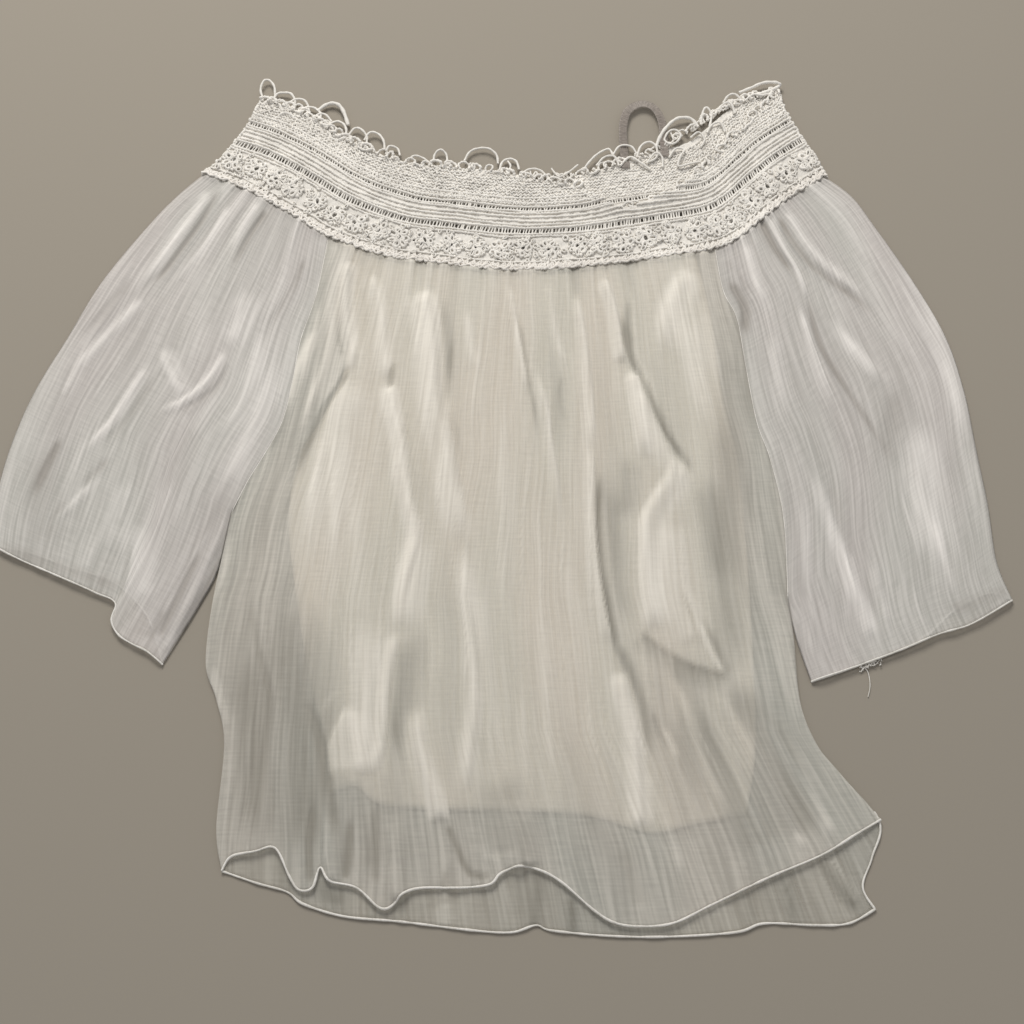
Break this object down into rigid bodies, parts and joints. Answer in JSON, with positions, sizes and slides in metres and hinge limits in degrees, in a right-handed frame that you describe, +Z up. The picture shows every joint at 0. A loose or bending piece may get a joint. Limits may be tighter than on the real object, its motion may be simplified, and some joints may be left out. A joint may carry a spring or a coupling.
{
  "type": "off-the-shoulder top",
  "caption": "Sheer crinkled cotton top laid flat, with wide sleeves, a loose body and a crochet lace neckband edged with picot loops.",
  "frame": {"origin": "middle of the garment's box, on the surface that it lies on", "axes": "+X across the garment, from the sleeve at the left of the picture to the one at the right, +Y from the hem towards the neckband, +Z up, out of the front of the garment"},
  "size_m": [0.6511, 0.6022, 0.01],
  "materials": {
    "gauze": "sheer off-white crinkled cotton gauze, matt",
    "lining": "warm cream cotton voile, matt",
    "lace": "off-white crochet cotton, matt",
    "ribbon": "sheer grey ribbon, faint sheen"
  },
  "bodies": {
    "root": {"back_panel": "gauze", "front_panel": "gauze", "sleeve_left": "gauze", "sleeve_right": "gauze", "lining": "lining", "band_back": "lace", "band_front": "lace", "picots_back": "lace", "picots_front": "lace", "hanger_loop": "ribbon"}
  },
  "joints": []
}
